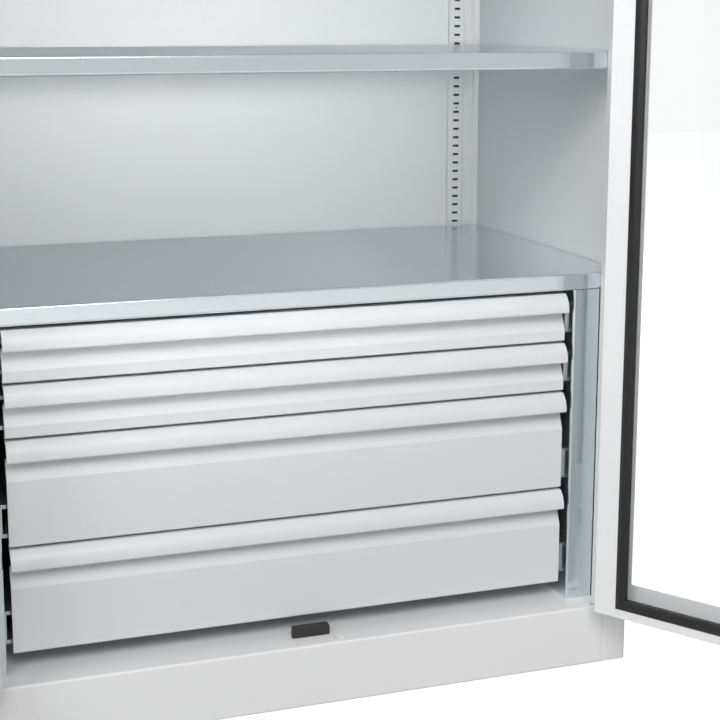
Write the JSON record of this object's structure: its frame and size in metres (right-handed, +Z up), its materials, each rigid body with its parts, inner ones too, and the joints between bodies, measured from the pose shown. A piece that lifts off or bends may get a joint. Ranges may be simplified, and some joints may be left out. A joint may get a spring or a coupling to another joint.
{
  "type": "wing-door tool cabinet",
  "caption": "Tall sheet-steel tool cabinet with glazed wing doors, telescopic drawers with rolled handles below and galvanised shelves on slotted uprights above.",
  "frame": {"origin": "on the floor, at mid-width, in the plane of the front posts", "axes": "+Z up along the height, +X to the right across the front, +Y into the depth"},
  "size_m": [1.4092, 1.0033, 1.95],
  "materials": {
    "cabinet_paint": "light grey powder coat, fine texture, satin",
    "drawer_paint": "light grey powder coat, satin",
    "galvanised_steel": "galvanised sheet, faint spangle, semi-gloss",
    "bright_steel": "zinc-plated steel",
    "rubber": "extruded black rubber, satin",
    "window_glass": "clear acrylic sheet",
    "black_plastic": "moulded black plastic, matt",
    "black_metal": "die-cast handle and plate, black powder coat, satin",
    "pale_plastic": "white moulded nylon"
  },
  "bodies": {
    "cabinet": {"side_panel_right": "cabinet_paint", "side_panel_left": "cabinet_paint", "back_panel": "cabinet_paint", "roof_panel": "cabinet_paint", "floor_pan": "cabinet_paint", "floor_braces": "galvanised_steel", "foot_plates": "galvanised_steel", "levelling_feet": "bright_steel", "rear_upright_right": "cabinet_paint", "rear_upright_left": "cabinet_paint", "front_upright_right": "cabinet_paint", "front_upright_left": "cabinet_paint", "cover_shelf": "galvanised_steel", "shelf_lower": "galvanised_steel", "shelf_middle": "galvanised_steel", "shelf_upper": "galvanised_steel", "shelf_clips": "galvanised_steel", "door_stop": "black_plastic", "drawer_housing_right": "galvanised_steel", "drawer_housing_left": "galvanised_steel", "slide_fixed": "bright_steel", "hinge_leaves_body": "cabinet_paint", "hinge_pins": "bright_steel", "rod_bushes": "pale_plastic"},
    "drawer_1": {"drawer_front_1": "drawer_paint", "drawer_tray_1": "galvanised_steel", "slide_inner_1": "bright_steel"},
    "slide_1": {"slide_middle_1": "bright_steel"},
    "drawer_2": {"drawer_front_2": "drawer_paint", "drawer_tray_2": "galvanised_steel", "slide_inner_2": "bright_steel"},
    "slide_2": {"slide_middle_2": "bright_steel"},
    "drawer_3": {"drawer_front_3": "drawer_paint", "drawer_tray_3": "galvanised_steel", "slide_inner_3": "bright_steel"},
    "slide_3": {"slide_middle_3": "bright_steel"},
    "drawer_4": {"drawer_front_4": "drawer_paint", "drawer_tray_4": "galvanised_steel", "slide_inner_4": "bright_steel"},
    "slide_4": {"slide_middle_4": "bright_steel"},
    "door_right": {"door_skin_right": "cabinet_paint", "door_lining_right": "cabinet_paint", "door_pane_right": "window_glass", "door_gasket_right": "rubber", "hinge_leaves_right": "cabinet_paint", "lock_plate": "black_metal", "lock_case": "galvanised_steel", "rod_guides": "black_plastic"},
    "door_left": {"door_skin_left": "cabinet_paint", "door_lining_left": "cabinet_paint", "door_pane_left": "window_glass", "door_gasket_left": "rubber", "hinge_leaves_left": "cabinet_paint", "rebate_strip": "cabinet_paint"},
    "handle": {"lock_handle": "black_metal", "lock_cam": "bright_steel"},
    "rod_upper": {"rod_upper": "bright_steel"},
    "rod_lower": {"rod_lower": "bright_steel"},
    "key": {"key_plug": "bright_steel"}
  },
  "joints": [
    {"name": "door_right_hinge", "type": "hinge", "parent": "cabinet", "child": "door_right", "pos_m": [0.46, -0.0045, 0], "axis": [0, 0, 1], "range_deg": [-123, 0]},
    {"name": "door_left_hinge", "type": "hinge", "parent": "cabinet", "child": "door_left", "pos_m": [-0.46, -0.0045, 0], "axis": [0, 0, -1], "range_deg": [-123, 0]},
    {"name": "handle_turn", "type": "hinge", "parent": "door_right", "child": "handle", "pos_m": [0.68171, -0.35416, 1.05], "axis": [-0.8387, -0.5446, 0], "range_deg": [0, 90]},
    {"name": "key_turn", "type": "hinge", "parent": "door_right", "child": "key", "pos_m": [0.68171, -0.35416, 1.088], "axis": [-0.8387, -0.5446, 0], "range_deg": [0, 90]},
    {"name": "rod_lower_travel", "type": "slide", "parent": "door_right", "child": "rod_lower", "axis": [0, 0, -1], "range_m": [0, 0.02]},
    {"name": "rod_upper_travel", "type": "slide", "parent": "door_right", "child": "rod_upper", "axis": [0, 0, 1], "range_m": [0, 0.02]},
    {"name": "drawer_1_travel", "type": "slide", "parent": "cabinet", "child": "drawer_1", "axis": [0, -1, 0], "range_m": [0, 0.45]},
    {"name": "slide_1_travel", "type": "slide", "parent": "cabinet", "child": "slide_1", "axis": [0, -1, 0], "range_m": [0, 0.225]},
    {"name": "drawer_2_travel", "type": "slide", "parent": "cabinet", "child": "drawer_2", "axis": [0, -1, 0], "range_m": [0, 0.45]},
    {"name": "slide_2_travel", "type": "slide", "parent": "cabinet", "child": "slide_2", "axis": [0, -1, 0], "range_m": [0, 0.225]},
    {"name": "drawer_3_travel", "type": "slide", "parent": "cabinet", "child": "drawer_3", "axis": [0, -1, 0], "range_m": [0, 0.45]},
    {"name": "slide_3_travel", "type": "slide", "parent": "cabinet", "child": "slide_3", "axis": [0, -1, 0], "range_m": [0, 0.225]},
    {"name": "drawer_4_travel", "type": "slide", "parent": "cabinet", "child": "drawer_4", "axis": [0, -1, 0], "range_m": [0, 0.45]},
    {"name": "slide_4_travel", "type": "slide", "parent": "cabinet", "child": "slide_4", "axis": [0, -1, 0], "range_m": [0, 0.225]}
  ],
  "couplings": [
    {"joint": "rod_lower_travel", "follows": "handle_turn", "m_per_rad": 0.012732},
    {"joint": "rod_upper_travel", "follows": "handle_turn", "m_per_rad": 0.012732},
    {"joint": "slide_1_travel", "follows": "drawer_1_travel", "ratio": 0.5},
    {"joint": "slide_2_travel", "follows": "drawer_2_travel", "ratio": 0.5},
    {"joint": "slide_3_travel", "follows": "drawer_3_travel", "ratio": 0.5},
    {"joint": "slide_4_travel", "follows": "drawer_4_travel", "ratio": 0.5}
  ]
}
